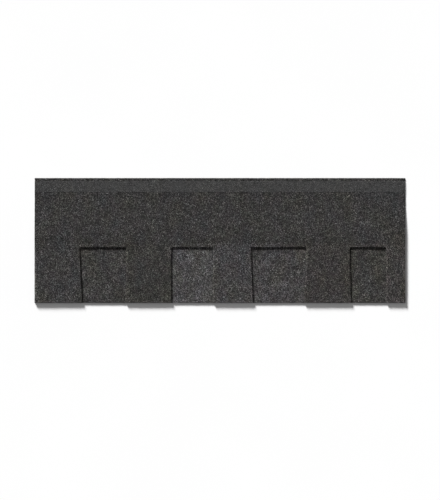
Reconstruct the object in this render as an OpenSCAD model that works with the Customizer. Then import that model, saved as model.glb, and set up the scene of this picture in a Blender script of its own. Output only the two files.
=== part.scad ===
// Laminated asphalt roof shingle: a top sheet cut into dragon teeth, bonded to a backing strip.
// It lies granule side up on a flat deck at Z = 0, with the butt edge towards -Y and the headlap towards +Y.

/* [Sheets] */
// Length of the shingle along its course
shingle_length = 1000; // [800:1:1100]
// Width from the butt edge to the top edge
shingle_width = 337; // [320:1:380]
// Thickness of one coated sheet, granules included
sheet_thickness = 2.7; // [2:0.1:4]
// Width of the double layer above the gaps, where the nails go
common_bond = 28; // [24:1:40]
// Width of the strip along the top edge that lies flat on the deck
headlap_flat = 50; // [50:1:70]

/* [Dragon teeth] */
// Height of the teeth, from the butt edge to the roots of the gaps
tooth_height = 150; // [120:1:165]
// Farthest that a side of a tooth leans out between its root and the butt edge
tooth_flare = 7.5; // [0:0.5:12]
// Radius of the cutter's bends at the tips and roots of the teeth
cut_radius = 3; // [1:0.5:6]

/* [Laminating adhesive] */
// Thickness of the adhesive between the two sheets
bond_thickness = 0.4; // [0.2:0.1:1]
// Width of one line of adhesive
bond_width = 12; // [6:1:20]
// Distance from a line's end to the side of its tooth, or to the end of the shingle
bond_inset = 8; // [4:1:14]

/* [Sealant strip] */
// Thickness of the sealant dashes under the butt edge
sealant_thickness = 0.6; // [0.3:0.1:1.2]
// Width of the dashes
sealant_width = 12; // [8:1:20]
// Length of one dash
sealant_dash = 100; // [60:1:115]
// Spacing of the dashes along the shingle
sealant_pitch = 125; // [120:1:160]
// Distance from the butt edge to the dashes
sealant_setback = 10; // [4:1:20]

/* [Release film] */
// Thickness of the film that keeps packed shingles apart
film_thickness = 0.1; // [0.05:0.05:0.3]
// Width of the film
film_width = 30; // [15:1:36]
// Distance from the top edge to the film
film_setback = 8; // [4:1:12]

/* [Hidden] */

// Roots of the gaps between the teeth, from left side to right side, as shares of the length
gap_shares = [[0.121, 0.247], [0.369, 0.481], [0.583, 0.733], [0.850, 0.948]];
// How far the teeth at the left and right of each gap lean into it, as shares of the flare
lean_shares = [[1, 0.35], [0, 0], [0.85, 0.9], [0.5, 0]];
// Middles of the adhesive lines under the teeth, as shares of the tooth height
bond_row_shares = [0.14, 0.48, 0.82];

// Straight pieces in one rounded corner, and in the bend of the headlap
corner_steps = 4;
drape_steps = 16;

backing_width = tooth_height + common_bond;
backing_top = sealant_thickness + sheet_thickness;
bond_top = backing_top + bond_thickness;
drape_end = shingle_width - headlap_flat;
drape_run = drape_end - backing_width;
sealant_count = floor(shingle_length / sealant_pitch);
sealant_start = (shingle_length - sealant_count * sealant_pitch + sealant_pitch - sealant_dash) / 2;

granule_black = [0.25, 0.245, 0.24];
granule_grey = [0.28, 0.275, 0.27];
asphalt_black = [0.05, 0.05, 0.05];
film_grey = [0.45, 0.46, 0.47];

// The teeth between the gaps, as [left, right] at their roots
tooth_lefts = concat([0], [for (gap = gap_shares) gap[1] * shingle_length]);
tooth_rights = concat([for (gap = gap_shares) gap[0] * shingle_length], [shingle_length]);

function unit(v) = v / norm(v);

// An arc of the given radius in place of the corner at p, coming from a and going on to b
function rounded(a, p, b, radius) =
    let (
        u = unit(a - p),
        v = unit(b - p),
        half = acos(u * v) / 2,
        centre = p + unit(u + v) * radius / sin(half),
        first = p + u * radius / tan(half) - centre,
        turn = sign(cross(p - a, b - p)) * (180 - 2 * half)
    )
    [for (i = [0:corner_steps])
        let (angle = turn * i / corner_steps)
        centre + [
            first.x * cos(angle) - first.y * sin(angle),
            first.x * sin(angle) + first.y * cos(angle)
        ]
    ];

// One gap: down the left tooth's side from its tip to its root, across, and back to the next tip
function gap_outline(gap, lean) =
    let (
        left_tip = [gap[0] * shingle_length + lean[0] * tooth_flare, 0],
        left_root = [gap[0] * shingle_length, tooth_height],
        right_root = [gap[1] * shingle_length, tooth_height],
        right_tip = [gap[1] * shingle_length - lean[1] * tooth_flare, 0]
    )
    concat(
        rounded([0, 0], left_tip, left_root, cut_radius),
        rounded(left_tip, left_root, right_root, cut_radius),
        rounded(left_root, right_root, right_tip, cut_radius),
        rounded(right_root, right_tip, [shingle_length, 0], cut_radius)
    );

// Outline of the top sheet seen from above, with the butt edge on Y = 0
sheet_outline = concat(
    [[0, 0]],
    [for (i = [0:len(gap_shares) - 1]) each gap_outline(gap_shares[i], lean_shares[i])],
    [[shingle_length, 0], [shingle_length, shingle_width], [0, shingle_width]]
);

// Height of the top sheet's underside: on the bond up to the backing's edge, then down to the deck
function underside(y) =
    y <= backing_width ? bond_top
    : y >= drape_end ? 0
    : bond_top * (1 + cos(180 * (y - backing_width) / drape_run)) / 2;

drape_places = concat(
    [0],
    [for (i = [0:drape_steps]) backing_width + drape_run * i / drape_steps],
    [shingle_width]
);

// Moves a shingle drawn from its left end and butt edge so that the origin is under its middle
module centred() {
    translate([-shingle_length / 2, -shingle_width / 2, 0]) children();
}

// Cross-section of the top sheet, from the butt edge to the top edge, carried along the length
module draped_sheet() {
    lower = [for (y = drape_places) [y, underside(y)]];
    upper = [for (y = drape_places) [y, underside(y) + sheet_thickness]];
    reversed = [for (i = [len(upper) - 1:-1:0]) upper[i]];
    rotate([90, 0, 90]) linear_extrude(shingle_length) polygon(concat(lower, reversed));
}

module top_sheet() {
    color(granule_black) centred() intersection() {
        draped_sheet();
        linear_extrude(bond_top + sheet_thickness) polygon(sheet_outline);
    }
}

module backing_strip() {
    color(granule_grey) centred() translate([0, 0, sealant_thickness])
        cube([shingle_length, backing_width, sheet_thickness]);
}

// One line of adhesive on the backing strip, between two places along the length
module bond_line(left, right, middle) {
    translate([left + bond_inset, middle - bond_width / 2, backing_top])
        cube([right - left - 2 * bond_inset, bond_width, bond_thickness]);
}

module laminating_adhesive() {
    color(asphalt_black) centred() {
        for (i = [0:len(tooth_lefts) - 1], share = bond_row_shares)
            bond_line(tooth_lefts[i], tooth_rights[i], share * tooth_height);
        bond_line(0, shingle_length, tooth_height + common_bond / 2);
    }
}

module sealant_dashes() {
    color(asphalt_black) centred()
        for (i = [0:sealant_count - 1])
            translate([sealant_start + i * sealant_pitch, sealant_setback, 0])
                cube([sealant_dash, sealant_width, sealant_thickness]);
}

module release_film() {
    color(film_grey) centred()
        translate([0, shingle_width - film_setback - film_width, sheet_thickness])
            cube([shingle_length, film_width, film_thickness]);
}

top_sheet();
backing_strip();
laminating_adhesive();
sealant_dashes();
release_film();
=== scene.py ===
"""Looks of a laminated asphalt roof shingle that lies granule side up.

Lengths are metres in the part's own frame.
"""

import math

import bpy
import numpy as np
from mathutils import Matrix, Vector


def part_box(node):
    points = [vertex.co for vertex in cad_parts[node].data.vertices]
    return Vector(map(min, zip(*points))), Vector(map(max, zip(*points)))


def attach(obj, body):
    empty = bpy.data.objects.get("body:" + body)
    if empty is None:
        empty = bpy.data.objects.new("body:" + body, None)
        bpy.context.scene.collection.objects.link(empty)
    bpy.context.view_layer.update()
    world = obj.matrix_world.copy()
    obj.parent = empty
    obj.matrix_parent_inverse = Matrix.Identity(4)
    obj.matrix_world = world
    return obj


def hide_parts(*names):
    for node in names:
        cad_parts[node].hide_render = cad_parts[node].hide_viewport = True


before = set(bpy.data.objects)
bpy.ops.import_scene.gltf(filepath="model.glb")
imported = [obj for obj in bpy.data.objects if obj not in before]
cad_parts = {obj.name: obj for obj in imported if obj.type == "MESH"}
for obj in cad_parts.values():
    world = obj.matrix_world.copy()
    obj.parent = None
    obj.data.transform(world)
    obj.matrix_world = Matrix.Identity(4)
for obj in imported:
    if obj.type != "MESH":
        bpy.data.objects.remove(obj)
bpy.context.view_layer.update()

# Backing strip
# A strip of glass mat soaked and coated in asphalt, with granules pressed into its face and sand dusted on
# its back. It is slit to width on the line, so its edges are bare black asphalt.

backing_low, backing_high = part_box("backing_strip")
backing_pitch = 0.004
backing_back_ripple_share = 0.5
backing_wander_pitch = 0.005
edge_wander = 0.0002
edge_roughness = 0.00015
granule_stand = 0.00045
fine_grain_pitch = 0.0010
sand_pitch = 0.0007

# Pitch and height of each ripple in a coating
coating_waves = ((0.090, 0.00008), (0.024, 0.00006), (0.0055, 0.00010))


def ripple(x, y, pitch, seed):
    """Smooth random height from -1 to 1: numbers drawn on a square lattice of the pitch, which repeats
    after its last point, eased between neighbours along x and then along y."""
    side = 97
    lattice = np.random.default_rng(seed).uniform(-1, 1, (side, side))
    across, up = x / pitch, y / pitch
    column, row = np.floor(across).astype(int), np.floor(up).astype(int)
    s, t = across - column, up - row
    s, t = s * s * (3 - 2 * s), t * t * (3 - 2 * t)
    left, right = column % side, (column + 1) % side
    below, above = row % side, (row + 1) % side
    lower = lattice[left, below] * (1 - s) + lattice[right, below] * s
    upper = lattice[left, above] * (1 - s) + lattice[right, above] * s
    return lower * (1 - t) + upper * t


def ripples(x, y, waves, seed):
    """Uneven height: one ripple for each pitch and height among the waves, added up."""
    return sum(height * ripple(x, y, pitch, seed + n) for n, (pitch, height) in enumerate(waves))


def backing_face(x, y):
    """Height of the backing strip's coating, below the tips of its granules."""
    return backing_high.z - granule_stand + ripples(x, y, coating_waves, seed=11)


def even_grid(low, high, pitch):
    """Places on an even grid from one corner to the other, in steps near the pitch."""
    columns, rows = round((high.x - low.x) / pitch), round((high.y - low.y) / pitch)
    return np.meshgrid(np.linspace(low.x, high.x, columns + 1), np.linspace(low.y, high.y, rows + 1))


def every_cell(grid):
    """A yes for each cell between the points of a grid."""
    return np.ones(np.subtract(grid.shape, 1), bool)


def put_mesh(name, points, *faces):
    """Object at the origin from an array of points and arrays of faces, one array for each corner count."""
    mesh = bpy.data.meshes.new(name)
    corners = np.concatenate([array.ravel() for array in faces])
    counts = np.concatenate([np.full(len(array), array.shape[1]) for array in faces])
    mesh.vertices.add(len(points))
    mesh.vertices.foreach_set("co", np.ascontiguousarray(points, np.float32).ravel())
    mesh.loops.add(len(corners))
    mesh.loops.foreach_set("vertex_index", corners.astype(np.int32))
    mesh.polygons.add(len(counts))
    mesh.polygons.foreach_set("loop_start", (np.cumsum(counts) - counts).astype(np.int32))
    mesh.update(calc_edges=True)
    made = bpy.data.objects.new(name, mesh)
    bpy.context.scene.collection.objects.link(made)
    return made


def sheet_shell(name, x, y, top, bottom, kept, roughness, seed):
    """Closed sheet: two heights over one grid of places, filled where a cell is kept. Round the kept cells
    a wall goes from top to bottom through two rows of points, which stray sideways at random by up to the
    roughness. The face, the wall and the back take the piece's first, second and third materials, or its
    only one."""
    wall_row_shares = (0.3, 0.7)
    sharp_angle = math.radians(40)
    count = x.size
    grid = np.arange(count).reshape(x.shape)
    quads = np.stack([grid[:-1, :-1], grid[:-1, 1:], grid[1:, 1:], grid[1:, :-1]], -1)[kept]

    # A cell's edge is on the outline where no other cell has that edge the other way round
    edges = np.stack([quads, np.roll(quads, -1, 1)], -1).reshape(-1, 2)
    outline = edges[~np.isin(edges @ (count, 1), edges @ (1, count))]
    rim = np.unique(outline)

    upper = np.stack([x, y, top], -1).reshape(-1, 3)
    lower = np.stack([x, y, bottom], -1).reshape(-1, 3)
    stray = np.random.default_rng(seed).uniform(-roughness, roughness, (len(wall_row_shares), len(rim), 3))
    wall_rows = [upper[rim] + (lower - upper)[rim] * share for share in wall_row_shares] + stray * (1, 1, 0)
    points = np.concatenate([upper, lower, *wall_rows])

    # Numbers of the points that lie under each point of the rim, from the face down to the back
    first_row = 2 * count + np.arange(len(rim))
    levels = np.zeros((4, count), int)
    levels[:, rim] = rim, first_row, first_row + len(rim), rim + count
    start, end = outline.T
    walls = [
        np.stack([above[end], above[start], below[start], below[end]], -1)
        for above, below in zip(levels[:-1], levels[1:])
    ]

    faces = np.concatenate([quads, *walls, quads[:, ::-1] + count])
    used, renumbered = np.unique(faces, return_inverse=True)
    made = put_mesh(name, points[used], renumbered.reshape(faces.shape))
    face_counts = (len(quads), len(walls) * len(outline), len(quads))
    made.data.polygons.foreach_set("material_index", np.repeat((0, 1, 2), face_counts).astype(np.int32))
    made.data.shade_smooth()
    made.data.set_sharp_from_angle(angle=sharp_angle)
    return made


def node(tree, kind, inputs=None, **settings):
    """Adds a shader node with its settings, and gives its inputs a value each, or a link from a socket."""
    made = tree.nodes.new(kind)
    for key, value in settings.items():
        setattr(made, key, value)
    for key, value in (inputs or {}).items():
        if isinstance(value, bpy.types.NodeSocket):
            tree.links.new(value, made.inputs[key])
        else:
            made.inputs[key].default_value = value
    return made


def grey(level):
    """A colour without a tint."""
    return (level, level, level)


def ramp(tree, value, *stops):
    """Colours over a value from 0 to 1. Each stop is a place and a colour."""
    made = node(tree, "ShaderNodeValToRGB", {"Fac": value})
    bar = made.color_ramp.elements
    for element, (place, colour) in zip(bar, (stops[0], stops[-1])):
        element.position = place
        element.color = (*colour, 1)
    for place, colour in stops[1:-1]:
        bar.new(place).color = (*colour, 1)
    return made.outputs["Color"]


def maths(tree, operation, first, second):
    """What an operation makes of two values."""
    return node(tree, "ShaderNodeMath", {0: first, 1: second}, operation=operation).outputs[0]


def times(tree, first, second):
    """One colour multiplied by another. A mix takes its share in socket 0 and its colours in 6 and 7, and
    gives the result in socket 2."""
    wanted = {0: 1.0, 6: first, 7: second}
    return node(tree, "ShaderNodeMix", wanted, data_type="RGBA", blend_type="MULTIPLY").outputs[2]


def noise(tree, place, scale, detail=2.0, roughness=0.5):
    """A cloudy value from 0 to 1 at each place."""
    wanted = {"Vector": place, "Scale": scale, "Detail": detail, "Roughness": roughness}
    return node(tree, "ShaderNodeTexNoise", wanted).outputs["Fac"]


def emboss(tree, shader, height, strength, distance):
    """Lets a height show in a shader as bumps."""
    bump = node(tree, "ShaderNodeBump", {"Height": height, "Strength": strength, "Distance": distance})
    tree.links.new(bump.outputs["Normal"], shader.inputs["Normal"])


def new_group(name, inputs, outputs):
    """Node group with named sockets: its tree, the sockets that come in and the sockets that go out."""
    tree = bpy.data.node_groups.new(name, "ShaderNodeTree")
    for title, kind in inputs.items():
        tree.interface.new_socket(title, in_out="INPUT", socket_type="NodeSocket" + kind)
    for title, kind in outputs.items():
        tree.interface.new_socket(title, in_out="OUTPUT", socket_type="NodeSocket" + kind)
    return tree, tree.nodes.new("NodeGroupInput").outputs, tree.nodes.new("NodeGroupOutput").inputs


def new_material(name, specular, roughness=0.5):
    """Material with its tree, its shader and the place on the piece. A roughness that varies over the piece
    is linked to the shader afterwards."""
    made = bpy.data.materials.new(name)
    made.use_nodes = True
    tree = made.node_tree
    shader = tree.nodes["Principled BSDF"]
    shader.inputs["Roughness"].default_value = roughness
    shader.inputs["Specular IOR Level"].default_value = specular
    return made, tree, shader, tree.nodes.new("ShaderNodeTexCoord").outputs["Object"]


def granule_colour_group():
    """Node group for the colour of granules: from black to pale grey by a grain's own number, in drifts of
    olive, violet and blue, with clumps of paler and darker ones, times the tone of their drop."""
    tree, taken, given = new_group(
        "granule colour", {"Place": "Vector", "Grain": "Float", "Tone": "Color"}, {"Colour": "Color"}
    )
    shade = ramp(
        tree,
        taken["Grain"],
        (0.0, grey(0.010)),
        (0.30, grey(0.026)),
        (0.60, grey(0.054)),
        (0.85, grey(0.090)),
        (0.97, grey(0.140)),
        (1.0, grey(0.220)),
    )
    stretched = node(tree, "ShaderNodeMapping", {"Vector": taken["Place"], "Scale": (1.0, 0.55, 1.0)})
    drift = ramp(
        tree,
        noise(tree, stretched.outputs["Vector"], scale=22.0, detail=3.0),
        (0.30, (1.06, 1.02, 0.92)),
        (0.45, (1.02, 1.01, 0.97)),
        (0.55, (1.02, 0.98, 1.00)),
        (0.68, (0.97, 1.00, 1.04)),
    )
    aside = node(tree, "ShaderNodeMapping", {"Vector": taken["Place"], "Location": (3.1, 1.7, 0.4)})
    flush = ramp(
        tree,
        noise(tree, aside.outputs["Vector"], scale=45.0),
        (0.36, (0.98, 1.01, 1.00)),
        (0.64, (1.025, 0.985, 1.005)),
    )
    clump = ramp(
        tree,
        noise(tree, taken["Place"], scale=70.0, detail=3.0),
        (0.25, grey(0.82)),
        (0.75, grey(1.18)),
    )
    tinted = times(tree, times(tree, shade, drift), times(tree, clump, flush))
    tree.links.new(times(tree, tinted, taken["Tone"]), given["Colour"])
    return tree


def fine_grain_group():
    """Node group for a bed of fine grains: each cell of it is a grain with a number of its own, high in its
    middle and low where it meets the next."""
    tree, taken, given = new_group(
        "fine grains", {"Place": "Vector", "Pitch": "Float"}, {"Grain": "Float", "Height": "Float"}
    )
    fineness = maths(tree, "DIVIDE", 1.0, taken["Pitch"])
    cells = node(tree, "ShaderNodeTexVoronoi", {"Vector": taken["Place"], "Scale": fineness})
    number = node(tree, "ShaderNodeSeparateColor", {"Color": cells.outputs["Color"]})
    tree.links.new(number.outputs["Red"], given["Grain"])
    tree.links.new(maths(tree, "SUBTRACT", 1.0, cells.outputs["Distance"]), given["Height"])
    return tree


granule_colour = granule_colour_group()
fine_grains = fine_grain_group()


def coloured(tree, place, grain):
    """Colour of the granules at a place, from their numbers and from the tone that the piece keeps."""
    tone = node(tree, "ShaderNodeAttribute", attribute_name="tone").outputs["Color"]
    wanted = {"Place": place, "Grain": grain, "Tone": tone}
    return node(tree, "ShaderNodeGroup", wanted, node_tree=granule_colour).outputs["Colour"]


def coated_face(name):
    """Material of a granule face under its large granules: fine grains sunk in asphalt. It is darker where
    they are low: partly black asphalt between them, partly painted shade in the hollows.
    """
    made, tree, shader, place = new_material(name, specular=0.12, roughness=0.9)
    wanted = {"Place": place, "Pitch": fine_grain_pitch}
    bed = node(tree, "ShaderNodeGroup", wanted, node_tree=fine_grains).outputs
    # Darker where the fine grains are low: black asphalt between them, and painted shade in their hollows
    # and under the large granules
    sunk = ramp(tree, bed["Height"], (0.35, grey(0.12)), (0.75, grey(0.55)))
    tree.links.new(times(tree, coloured(tree, place, bed["Grain"]), sunk), shader.inputs["Base Color"])
    emboss(tree, shader, bed["Height"], strength=0.7, distance=0.0004)
    return made


def cut_edge(name):
    """Material of an edge that the knife has bared: black asphalt with pale specks of granules and mat."""
    made, tree, shader, place = new_material(name, specular=0.2, roughness=0.7)
    speck = noise(tree, place, scale=900.0, roughness=0.7)
    colour = ramp(tree, speck, (0.30, grey(0.010)), (0.58, grey(0.022)), (0.70, (0.060, 0.058, 0.055)))
    tree.links.new(colour, shader.inputs["Base Color"])
    emboss(tree, shader, speck, strength=0.6, distance=0.0004)
    return made


def sanded_back(name):
    """Material of the back: asphalt dusted with fine sand, which lies thicker in some places."""
    made, tree, shader, place = new_material(name, specular=0.15, roughness=0.92)
    wanted = {"Place": place, "Pitch": sand_pitch}
    sand = node(tree, "ShaderNodeGroup", wanted, node_tree=fine_grains).outputs
    grain = ramp(
        tree,
        sand["Grain"],
        (0.0, (0.030, 0.029, 0.028)),
        (0.6, (0.085, 0.083, 0.080)),
        (1.0, (0.20, 0.19, 0.175)),
    )
    dust = noise(tree, place, scale=30.0, detail=4.0, roughness=0.6)
    cover = ramp(tree, dust, (0.25, grey(0.65)), (0.75, grey(1.15)))
    tree.links.new(times(tree, grain, cover), shader.inputs["Base Color"])
    emboss(tree, shader, sand["Height"], strength=0.5, distance=0.0002)
    return made


cut_asphalt = cut_edge("cut asphalt")
sand_dusted = sanded_back("sand dusted back")

x, y = even_grid(backing_low, backing_high, backing_pitch)
backing = sheet_shell(
    "backing_sheet",
    x,
    y + edge_wander * ripple(x, y, backing_wander_pitch, seed=21),
    backing_face(x, y),
    backing_low.z + backing_back_ripple_share * ripples(x, y, coating_waves, seed=23),
    every_cell(x),
    edge_roughness,
    seed=24,
)
for material in (coated_face("backing coating"), cut_asphalt, sand_dusted):
    backing.data.materials.append(material)
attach(backing, "root")
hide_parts("backing_strip")

# Granules of the backing strip
# Crushed and coloured rock, pressed half its height into the hot asphalt. It shows in the gaps between the
# teeth and at the edges of the strip, and each drop of granules along the line has a tone of its own.

top_low, top_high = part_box("top_sheet")
shingle_length = top_high.x - top_low.x
tooth_height = 0.150
tooth_flare = 0.0075
cut_radius = 0.003
root = top_low.y + tooth_height

# Left and right side of each gap at its root, as shares of the length, and how far the two teeth lean into
# it, as shares of the flare
gap_shares = np.array(((0.121, 0.247), (0.369, 0.481), (0.583, 0.733), (0.850, 0.948)))
lean_shares = np.array(((1, 0.35), (0, 0), (0.85, 0.9), (0.5, 0)))
gap_middles = top_low.x + shingle_length * gap_shares.mean(1)

granule_pitch = 0.0020
backing_edge_room = 0.0005
shown_rim = 0.005
patch_pitch = 0.008
patch_share = 0.3
granule_blends = {
    "charcoal": np.array((1.01, 1.00, 0.98)),
    "olive": np.array((1.01, 1.00, 0.94)),
    "violet": np.array((1.02, 1.00, 1.00)),
    "brown": np.array((1.045, 1.00, 0.965)),
    "ash": np.array((1.00, 1.00, 1.02)),
}

# Blend, level and share of bare spots of the drop in each gap, from left to right
gap_drops = (("charcoal", 1.04, 0.03), ("ash", 1.57, 0.04), ("violet", 1.27, 0.04), ("olive", 1.01, 0.03))

# How far a stone strays from its place and how far it reaches from its middle are shares of the pitch. Its
# width is a share of its reach, its corners and its ridge are shares of both, and its depth and its rise
# are shares of the stand.
stone_stray_share = 0.4
reach_shares = (0.44, 0.68)
width_shares = (0.70, 1.0)
corner_shares = (0.75, 1.1)
ridge_shares = (0.1, 0.6)
ridge_aside_shares = (-0.35, 0.35)
depth_share = 0.15
rise_shares = (0.5, 1.1)
ridge_tilt_shares = (-0.2, 0.2)


def tooth_sides(y):
    """Place along the length of the eight sides of the gaps at each height. A side leans straight from its
    root out to its tip, with a round of the cutter's radius that widens the tooth at its root and narrows
    it at its tip."""
    into_gap = np.tile((1, -1), len(gap_shares))
    down = np.clip((root - y) / tooth_height, 0, 1)
    by_root = np.clip(1 - (root - y) / cut_radius, 0, 1)
    by_tip = np.clip(1 - (y - top_low.y) / cut_radius, 0, 1)
    rounds = cut_radius * (np.sqrt(1 - by_tip**2) - np.sqrt(1 - by_root**2))
    straight = top_low.x + shingle_length * gap_shares.ravel()
    return straight + into_gap * (tooth_flare * lean_shares.ravel() * down[..., None] + rounds[..., None])


def from_gap(x, y):
    """Distance of each place from the nearest gap between two teeth, and 0 in a gap."""
    sides = tooth_sides(y)
    aside = np.maximum(sides[..., 0::2] - x[..., None], x[..., None] - sides[..., 1::2]).min(-1)
    return np.hypot(np.maximum(aside, 0), np.maximum(y - root, 0))


def drop_tones(drops, x, middles):
    """Colour of the granules at each place: the blend and level of the drop whose middle is nearest."""
    tones = np.array([granule_blends[blend] * level for blend, level, bare_share in drops])
    return tones[np.abs(x[:, None] - middles).argmin(1)]


def gap_tone(x, y):
    """Colour of the granules: one for each gap, with small patches where more or fewer pale ones fell."""
    patches = 1 + patch_share * ripple(x, y, patch_pitch, seed=33)
    return drop_tones(gap_drops, x, gap_middles) * patches[:, None]


def trimmed_backing(x, y):
    """Places moved back onto the backing strip where they lie past an edge."""
    return np.clip(x, backing_low.x, backing_high.x), np.clip(y, backing_low.y, backing_high.y)


def scattered(low, high, pitch, draw):
    """Places on a honeycomb of the pitch between two corners, each moved aside at random."""
    row_pitch = pitch * math.sqrt(3) / 2
    x, y = np.meshgrid(np.arange(low[0], high[0], pitch), np.arange(low[1], high[1], row_pitch))
    x = x + (np.arange(len(y)) % 2)[:, None] * pitch / 2
    moved = draw.uniform(-stone_stray_share * pitch, stone_stray_share * pitch, (2, *x.shape))
    return (x + moved[0]).ravel(), (y + moved[1]).ravel()


def keep_numbers(piece, name, values):
    """Keeps one number for each point of a piece, for its material to read."""
    piece.data.attributes.new(name, "FLOAT", "POINT").data.foreach_set("value", values.astype(np.float32))


def keep_colours(piece, name, colours):
    """Keeps one colour for each point of a piece, for its material to read."""
    filled = np.pad(colours, ((0, 0), (0, 1)), constant_values=1).astype(np.float32)
    piece.data.attributes.new(name, "FLOAT_COLOR", "POINT").data.foreach_set("color", filled.ravel())


def keep_plan(piece, points):
    """Keeps a map of a piece as it looks from above, fitted to a square of side 1."""
    plan = points[:, :2]
    fitted = (plan - plan.min(0)) / (plan.max(0) - plan.min(0))
    corner = np.empty(len(piece.data.loops), np.int32)
    piece.data.loops.foreach_get("vertex_index", corner)
    plan_layer = piece.data.uv_layers.new(name="OFBake")
    plan_layer.uv.foreach_set("vector", fitted[corner].astype(np.float32).ravel())


def points_of(piece):
    """Places of a piece's points along the length, across the width and up."""
    places = np.empty(3 * len(piece.data.vertices), np.float32)
    piece.data.vertices.foreach_get("co", places)
    return places.reshape(-1, 3).T


def granules(name, x, y, pitch, face, trimmed, tones, draw):
    """Crushed stones as closed hipped blocks on a face, which gives the height of the coating at any place.
    Each has four corners sunk into the coating and a short ridge above them. Their reach, width, height
    and turn are drawn at random, and so is each corner's own offset. A point past a cut edge is moved back
    to it, so the stone is cut there."""
    count = len(x)
    reach = pitch * draw.uniform(*reach_shares, (count, 1))
    width = reach * draw.uniform(*width_shares, (count, 1))
    corners_along = reach * (1, -1, -1, 1) * draw.uniform(*corner_shares, (count, 4))
    corners_aside = width * (1, 1, -1, -1) * draw.uniform(*corner_shares, (count, 4))
    ridge_along = reach * (1, -1) * draw.uniform(*ridge_shares, (count, 2))
    ridge_aside = width * draw.uniform(*ridge_aside_shares, (count, 2))
    along = np.concatenate([corners_along, ridge_along], 1)
    aside = np.concatenate([corners_aside, ridge_aside], 1)
    sunk = np.full((count, 4), -depth_share * granule_stand)
    rise = draw.uniform(*rise_shares, (count, 1)) + draw.uniform(*ridge_tilt_shares, (count, 2))
    turn = draw.uniform(0, 2 * math.pi, (count, 1))
    px, py = trimmed(
        x[:, None] + along * np.cos(turn) - aside * np.sin(turn),
        y[:, None] + along * np.sin(turn) + aside * np.cos(turn),
    )
    pz = face(px, py) + np.concatenate([sunk, granule_stand * rise], 1)
    points = np.stack([px, py, pz], -1).reshape(-1, 3)

    # Points 0 to 3 of a stone are its corners, and 4 and 5 are the ends of its ridge
    stone_points = px.shape[1]
    first = stone_points * np.arange(count)[:, None, None]
    ends = (first + np.array(((3, 0, 4), (1, 2, 5)))).reshape(-1, 3)
    flanks_and_base = (first + np.array(((0, 1, 5, 4), (2, 3, 4, 5), (3, 2, 1, 0)))).reshape(-1, 4)
    made = put_mesh(name, points, ends, flanks_and_base)
    made.data.shade_smooth()
    keep_numbers(made, "grain", np.repeat(draw.uniform(0, 1, count), stone_points))
    keep_colours(made, "tone", np.repeat(tones, stone_points, 0))
    keep_plan(made, points)
    return made


def stone_material(name):
    """Material of the granules: dull rock, coloured by the number of each and by the tone of their drop."""
    made, tree, shader, place = new_material(name, specular=0.12, roughness=0.85)
    grain = node(tree, "ShaderNodeAttribute", attribute_name="grain").outputs["Fac"]
    tree.links.new(coloured(tree, place, grain), shader.inputs["Base Color"])
    return made


granule_stone = stone_material("granule stone")


def lay_granules(title, places, pitch, middles, bare_shares, sheet, draw):
    """Granules at places on a sheet, as one piece round each middle along the length. A share of the places
    in each piece is bare, where a granule has come off. The sheet is three functions: the height of its
    face, the places trimmed to its edges, and the tone."""
    x, y = places
    face, trimmed, tone = sheet
    nearest = np.abs(x[:, None] - middles).argmin(1)
    for n, bare_share in enumerate(bare_shares):
        mine = (nearest == n) & (draw.uniform(0, 1, len(x)) > bare_share)
        my_x, my_y = x[mine], y[mine]
        name = f"{title}_{n + 1}_granules"
        stones = granules(name, my_x, my_y, pitch, face, trimmed, tone(my_x, my_y), draw)
        stones.data.materials.append(granule_stone)
        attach(stones, "root")


draw = np.random.default_rng(seed=31)
x, y = scattered(backing_low[:2], backing_high[:2], granule_pitch, draw)
inside = (np.abs(x) < backing_high.x - backing_edge_room) & (y > backing_low.y + backing_edge_room)
near_edge = (np.abs(x) > backing_high.x - shown_rim) | (y < backing_low.y + shown_rim)
shown = inside & (y < root + shown_rim) & ((from_gap(x, y) < shown_rim) | near_edge)
lay_granules(
    "gap",
    (x[shown], y[shown]),
    granule_pitch,
    gap_middles,
    [bare_share for blend, level, bare_share in gap_drops],
    (backing_face, trimmed_backing, gap_tone),
    draw,
)
keep_colours(backing, "tone", gap_tone(*points_of(backing)[:2]))

# Laminating adhesive
# Hot asphalt, laid in lines on the backing strip and squeezed flat when the top sheet is pressed on. There
# are three short lines under each tooth and one long line above the gaps.

bond_low, bond_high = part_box("laminating_adhesive")
bond_width = 0.012
bond_inset = 0.008
bond_row_shares = (0.14, 0.48, 0.82)
bond_stray_share = 0.15
bead_corners = 16
bead_step = 0.005
bead_stray_pitch = 0.011
bead_sides_apart = 0.01
bead_square_power = 0.6


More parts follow.
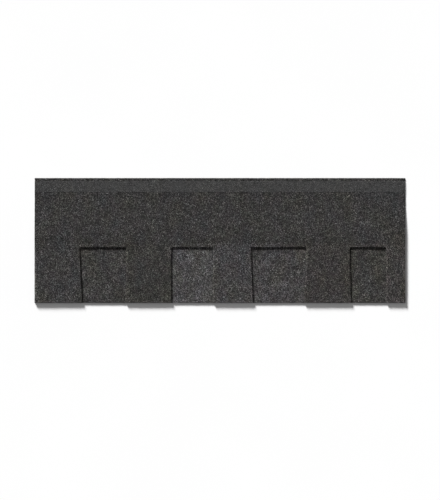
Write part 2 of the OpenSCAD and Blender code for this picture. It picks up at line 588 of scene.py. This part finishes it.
def pressed_lines(name, lines, width, low, high, stray_share, seed):
    """Closed flat beads: a squared-off oval section carried along X, whose width strays at random by up to
    a share of itself, on each side alone, and closes to a point at each end along a quarter round. Each
    line is its start, its end and its place across."""
    around = np.linspace(0, 2 * math.pi, bead_corners, endpoint=False)
    oval = np.sign(np.cos(around)) * np.abs(np.cos(around)) ** bead_square_power
    dome = np.sign(np.sin(around)) * np.abs(np.sin(around)) ** bead_square_power
    middle_z = (low + high) / 2
    points, quads, fans, first = [], [], [], 0
    for n, (start, end, middle) in enumerate(lines):
        count = round((end - start) / bead_step)
        along = np.linspace(0, 1, count + 2)[1:-1, None] * (end - start)
        from_end = np.minimum(along, end - start - along)
        closing = np.sqrt(1 - np.clip(1 - from_end / (width / 2), 0, 1) ** 2)
        stray = ripple(start + along, bead_sides_apart * np.sign(oval), bead_stray_pitch, seed + n)
        y = middle + width / 2 * closing * (1 + stray_share * stray) * oval
        z = middle_z + (high - low) / 2 * np.sqrt(closing) * dome
        rings = np.stack([np.broadcast_to(start + along, y.shape), y, z], -1)
        tips = np.array(((start, middle, middle_z), (end, middle, middle_z)))

        grid = first + np.arange(y.size).reshape(y.shape)
        turned = np.roll(grid, -1, 1)
        tip = first + y.size
        quads.append(np.stack([grid[:-1], turned[:-1], turned[1:], grid[1:]], -1).reshape(-1, 4))
        fans.append(np.stack([turned[0], grid[0], np.full(bead_corners, tip)], -1))
        fans.append(np.stack([grid[-1], turned[-1], np.full(bead_corners, tip + 1)], -1))
        points += [rings.reshape(-1, 3), tips]
        first = tip + len(tips)
    made = put_mesh(name, np.concatenate(points), np.concatenate(fans), np.concatenate(quads))
    made.data.shade_smooth()
    return made


def black_asphalt(name, glossiest, dullest):
    """Material of soft asphalt: near black, with a skin that is glossy in places and dull in others."""
    made, tree, shader, place = new_material(name, specular=0.5)
    skin = noise(tree, place, scale=120.0, detail=4.0, roughness=0.6)
    colour = ramp(tree, skin, (0.3, grey(0.006)), (0.7, (0.016, 0.015, 0.014)))
    tree.links.new(colour, shader.inputs["Base Color"])
    gloss = ramp(tree, skin, (0.3, grey(glossiest)), (0.7, grey(dullest)))
    tree.links.new(gloss, shader.inputs["Roughness"])
    emboss(tree, shader, skin, strength=0.35, distance=0.0006)
    return made


tooth_spans = top_low.x + shingle_length * np.concatenate([[0], gap_shares.ravel(), [1]]).reshape(-1, 2)
tooth_middles = tooth_spans.mean(1)
lines = [
    (left + bond_inset, right - bond_inset, top_low.y + share * tooth_height)
    for left, right in tooth_spans
    for share in bond_row_shares
]
lines.append((top_low.x + bond_inset, top_high.x - bond_inset, (root + backing_high.y) / 2))
bite = granule_stand / 2
bond = pressed_lines(
    "adhesive_lines", lines, bond_width, bond_low.z - bite, bond_high.z + bite, bond_stray_share, seed=41
)
bond.data.materials.append(black_asphalt("laminating asphalt", glossiest=0.35, dullest=0.6))
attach(bond, "root")
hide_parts("laminating_adhesive")

# Top sheet
# A second coated mat, die cut along its lower half into uneven teeth that widen towards the butt edge. It
# is bonded over the backing strip, and above the strip its headlap comes down to lie on the deck.

sheet_thickness = bond_low.z - backing_low.z
headlap_flat = 0.050
sheet_pitch = 0.003
bend_steps = 4
top_back_ripple_share = 0.4
top_wander_pitch = 0.004
shoulder_width = 0.0015
shoulder_fall = 0.0004
shoulder_steps = np.array((0.0007, shoulder_width))
# Width and share of the paler granules by the teeth's edges: a painted highlight along the left sides,
# which face the lamp, and granules that the knife crushed along the butt edges
highlight_and_crushed_width = 0.0055
highlight_and_crushed_share = 0.75
crushed_butt_share = 0.5
drop_overrun = 0.010
drop_ragged = 0.004
drop_ragged_pitch = 0.006
headlap_level = 0.86
headlap_tone = headlap_level * granule_blends["charcoal"]

# Blend, level and share of bare spots of the drop on each tooth, from left to right
tooth_drops = (
    ("charcoal", 1.10, 0.15),
    ("olive", 0.90, 0.02),
    ("violet", 1.25, 0.13),
    ("brown", 0.93, 0.06),
    ("brown", 1.00, 0.05),
)


def underside(y):
    """Height of the top sheet's back: on the adhesive as far as the backing strip's edge, then down to the
    deck on half a cosine wave."""
    fallen = np.clip((y - backing_high.y) / (top_high.y - headlap_flat - backing_high.y), 0, 1)
    return bond_high.z * (1 + np.cos(math.pi * fallen)) / 2


def from_cut(x, y):
    """Distance of each place from the nearest edge that the cutter made: a gap's or the sheet's own."""
    from_ends = np.minimum(x - top_low.x, top_high.x - x)
    from_edges = np.minimum(y - top_low.y, top_high.y - y)
    return np.maximum(np.minimum(np.minimum(from_ends, from_edges), from_gap(x, y)), 0)


def from_left_side(x, y):
    """Distance of each place on a tooth from the tooth's own left side."""
    left_sides = np.insert(tooth_sides(y)[..., 1::2], 0, top_low.x, -1)
    rightwards = x[..., None] - left_sides
    return np.where(rightwards > 0, rightwards, np.inf).min(-1)


def top_face(x, y):
    """Height of the top sheet's coating, below the tips of its granules. The knife rolled it down on a
    parabola along each cut."""
    shoulder = shoulder_fall * np.clip(1 - from_cut(x, y) / shoulder_width, 0, 1) ** 2
    flat = underside(y) + sheet_thickness - granule_stand
    return flat + ripples(x, y, coating_waves, seed=51) - shoulder


def top_tone(x, y):
    """Colour of the granules: one for each tooth and a plain one for the headlap, which starts at a ragged
    line. Along the left side of a tooth, the side that faces the lamp, it is paler as a painted highlight.
    Along the butt edge it is paler by less, where the knife crushed them. The paleness fades out on a
    parabola."""
    on_tooth = y < root + drop_overrun + drop_ragged * ripple(x, y, drop_ragged_pitch, seed=53)
    # Painted highlight: paler granules along the left side of a tooth, the side that faces the lamp
    lit_side_highlight = np.clip(1 - (from_left_side(x, y) / highlight_and_crushed_width) ** 2, 0, 1) * (y < root)
    by_butt = np.clip(1 - ((y - top_low.y) / highlight_and_crushed_width) ** 2, 0, 1)
    paler = 1 + highlight_and_crushed_share * np.maximum(lit_side_highlight, crushed_butt_share * by_butt)
    tones = np.where(on_tooth[:, None], drop_tones(tooth_drops, x, tooth_middles), headlap_tone)
    return tones * paler[:, None]


def column_shares(width, has_shoulders):
    """Shares of a width where columns of the grid stand: even steps, and more by the sides of a tooth."""
    steps = round(width / sheet_pitch)
    even = np.arange(steps) / steps
    by_sides = np.concatenate([shoulder_steps, width - shoulder_steps]) / width
    return np.union1d(even, by_sides) if has_shoulders else even


# Rows of the grid: close together round the bends of the cutter, and even along the teeth and the headlap
bend = cut_radius * (1 - np.cos(np.linspace(0, math.pi / 2, bend_steps + 1)))
tooth_rows = np.linspace(top_low.y + cut_radius, root - cut_radius, round(tooth_height / sheet_pitch))[1:-1]
headlap_rows = np.linspace(root, top_high.y, round((top_high.y - root) / sheet_pitch))[1:]
heights = np.concatenate([top_low.y + bend, tooth_rows, root - bend[::-1], headlap_rows])

# Columns of the grid: they follow the sides of the teeth and the gaps, which take turns along the length
knots = np.insert(tooth_sides(heights), (0, gap_shares.size), (top_low.x, top_high.x), 1)
row_on_teeth = len(heights) // 4
shares = [column_shares(width, n % 2 == 0) for n, width in enumerate(np.diff(knots[row_on_teeth]))]
span = np.append(np.repeat(np.arange(len(shares)), [len(part) for part in shares]), len(shares) - 1)
share = np.append(np.concatenate(shares), 1)
x = knots[:, span] * (1 - share) + knots[:, span + 1] * share
y = np.broadcast_to(heights[:, None], x.shape)
is_below_root = np.arange(1, len(heights)) < len(heights) - len(headlap_rows)
is_between_teeth = span[:-1] % 2 == 1

coating_depth = sum(height for pitch, height in coating_waves)
top_sheet = sheet_shell(
    "toothed_sheet",
    x + edge_wander * ripple(x, y, top_wander_pitch, seed=55),
    y + edge_wander * ripple(x, y, top_wander_pitch, seed=56),
    top_face(x, y),
    underside(y) + top_back_ripple_share * (ripples(x, y, coating_waves, seed=57) + coating_depth),
    ~(is_below_root[:, None] & is_between_teeth),
    edge_roughness,
    seed=58,
)
keep_colours(top_sheet, "tone", top_tone(*points_of(top_sheet)[:2]))
for material in (coated_face("top coating"), cut_asphalt, sand_dusted):
    top_sheet.data.materials.append(material)
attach(top_sheet, "root")
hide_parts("top_sheet")

# Granules of the top sheet
# The same crushed rock, with its own tone on every tooth and a plain dark mix on the headlap. The knife cut
# through those at the edges and crushed them paler along the butt edges of the teeth. Along the left sides,
# which face the lamp, the paler granules are a painted highlight.

headlap_pitch = 0.0022
headlap_parts = 4
headlap_bare_shares = [0.03] * headlap_parts
headlap_middles = top_low.x + shingle_length * (np.arange(headlap_parts) + 0.5) / headlap_parts
top_edge_room = 0.0002


def trimmed_top(x, y):
    """Places moved back onto the top sheet where they lie past an edge or in a gap: to the nearest side of
    the gap, or to its root where that is nearer."""
    x, y = np.clip(x, top_low.x, top_high.x), np.clip(y, top_low.y, top_high.y)
    sides = tooth_sides(y)
    nearest = np.abs(sides - x[..., None]).argmin(-1)
    side = np.take_along_axis(sides, nearest[..., None], -1)[..., 0]

    # Even sides are the left ones of the gaps, so a place in a gap lies to the right of them
    aside = np.where(nearest % 2 == 0, x - side, side - x)
    down = root - y
    in_gap = (aside > 0) & (down > 0)
    return np.where(in_gap & (aside < down), side, x), np.where(in_gap & (aside >= down), root, y)


draw = np.random.default_rng(seed=61)
sheet = (top_face, trimmed_top, top_tone)
tooth_bare_shares = [bare_share for blend, level, bare_share in tooth_drops]
for title, low_y, high_y, pitch, middles, bare_shares in (
    ("tooth", top_low.y, backing_high.y, granule_pitch, tooth_middles, tooth_bare_shares),
    ("headlap", backing_high.y, top_high.y, headlap_pitch, headlap_middles, headlap_bare_shares),
):
    x, y = scattered((top_low.x, low_y), (top_high.x, high_y), pitch, draw)
    inside = from_cut(x, y) > top_edge_room
    places = (x[inside], y[inside])
    lay_granules(title, places, pitch, middles, bare_shares, sheet, draw)

# Sealant dashes
# Soft asphalt, run out hot in dashes on the back of the strip, near the butt edge. In the sun it softens
# and sticks the shingle down.

sealant_low, sealant_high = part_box("sealant_dashes")
sealant_dash = 0.100
sealant_pitch = 0.125
sealant_bite = 0.0001
sealant_stray_share = 0.10
sealant_y = (sealant_low.y + sealant_high.y) / 2
starts = np.arange(sealant_low.x, sealant_high.x, sealant_pitch)
sealant = pressed_lines(
    "sealant_lines",
    [(start, start + sealant_dash, sealant_y) for start in starts],
    sealant_high.y - sealant_low.y,
    sealant_low.z,
    sealant_high.z + sealant_bite,
    sealant_stray_share,
    seed=71,
)
sealant.data.materials.append(black_asphalt("sealing asphalt", glossiest=0.18, dullest=0.4))
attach(sealant, "root")
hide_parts("sealant_dashes")

# Release film
# A strip of thin clear polyester, laid on the granules near the top edge. It lies a little wavy on them,
# and in a pack it keeps sealant from sticking to them.

film_low, film_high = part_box("release_film")
film_pitch = 0.003
film_lift = 0.0001

# Pitch and height of each wave in the film
film_waves = ((0.004, 0.00012), (0.030, 0.00012))


def clear_polyester(name):
    """Material of the film: hardly seen, with a faint haze and the bumps of the granules under it."""
    made, tree, shader, place = new_material(name, specular=0.12)
    haze = noise(tree, place, scale=160.0, detail=3.0)
    tree.links.new(ramp(tree, haze, (0.3, grey(0.06)), (0.7, grey(0.13))), shader.inputs["Base Color"])
    tree.links.new(ramp(tree, haze, (0.3, grey(0.60)), (0.7, grey(0.85))), shader.inputs["Roughness"])
    emboss(tree, shader, noise(tree, place, scale=500.0), strength=0.5, distance=0.0004)
    shader.inputs["Alpha"].default_value = 0.22
    return made


x, y = even_grid(film_low, film_high, film_pitch)
lift = ripples(x, y, film_waves, seed=81) + film_lift
film = sheet_shell(
    "clear_film", x, y, film_high.z + lift, film_low.z + lift, every_cell(x), roughness=0.0, seed=83
)
film.data.materials.append(clear_polyester("clear polyester"))
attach(film, "root")
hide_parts("release_film")

# Floor
# A pale painted studio floor, level with the deck that the shingle would lie on. It is one large square, so
# that its edges stay far away, and it takes the shingle's shadow.

floor_reach = 30.0
floor_corners = np.array(((-1, -1, 0), (1, -1, 0), (1, 1, 0), (-1, 1, 0))) * floor_reach
floor = put_mesh("studio_floor", floor_corners, np.arange(4)[None])
floor_paint, tree, shader, place = new_material("pale floor", specular=0.0, roughness=0.95)
paint_colour = ramp(tree, noise(tree, place, scale=3.0), (0.3, grey(0.945)), (0.7, grey(0.955)))
tree.links.new(paint_colour, shader.inputs["Base Color"])
floor.data.materials.append(floor_paint)

# Light
# One far soft lamp that rakes across the shingle from the upper left, and an even pale room, which is white
# where the camera, a reflection or a see-through surface shows it.

to_lamp = Vector((-1.4, 2.9, 1.0)).normalized()
lamp_softness = math.radians(12)

# Brightness that the lamp and the room each give to a level white surface
lamp_level = 0.83
room_level = 0.22

lamp = bpy.data.lights.new("raking lamp", "SUN")
lamp.energy = lamp_level * math.pi / to_lamp.z
lamp.angle = lamp_softness
lamp_object = bpy.data.objects.new("raking lamp", lamp)
lamp_object.rotation_euler = to_lamp.to_track_quat("Z", "Y").to_euler()
bpy.context.scene.collection.objects.link(lamp_object)

room = bpy.data.worlds.new("pale room")
room.use_nodes = True
tree = room.node_tree
ray = node(tree, "ShaderNodeLightPath").outputs
mirrored = maths(tree, "MAXIMUM", ray["Is Glossy Ray"], ray["Is Transmission Ray"])
seen = maths(tree, "MAXIMUM", ray["Is Camera Ray"], mirrored)
tree.links.new(maths(tree, "MAXIMUM", seen, room_level), tree.nodes["Background"].inputs["Strength"])
tree.nodes["Background"].inputs["Color"].default_value = (1, 1, 1, 1)
bpy.context.scene.world = room
bpy.context.scene.view_settings.view_transform = "Standard"

# Camera
# It looks straight down on the granule face, with the top edge of the shingle towards the top of the
# picture. The exposure, which is the height of a shingle that stays uncovered in use, gives the scale.

picture_height_px = 500
butt_edge_px = 303.0
exposure_px = 53.05
exposure = 0.143
metres_per_px = exposure / exposure_px
below_middle_px = butt_edge_px - picture_height_px / 2

camera = bpy.data.cameras.new("camera")
camera.lens = 100
camera.sensor_width = 36
camera.clip_end = 100

# The sensor's width spans the longer side of the picture, which is its height
distance = camera.lens / camera.sensor_width * picture_height_px * metres_per_px
camera_object = bpy.data.objects.new("camera", camera)
camera_object.location = (0, top_low.y + below_middle_px * metres_per_px, distance + top_high.z)
bpy.context.scene.collection.objects.link(camera_object)
bpy.context.scene.camera = camera_object
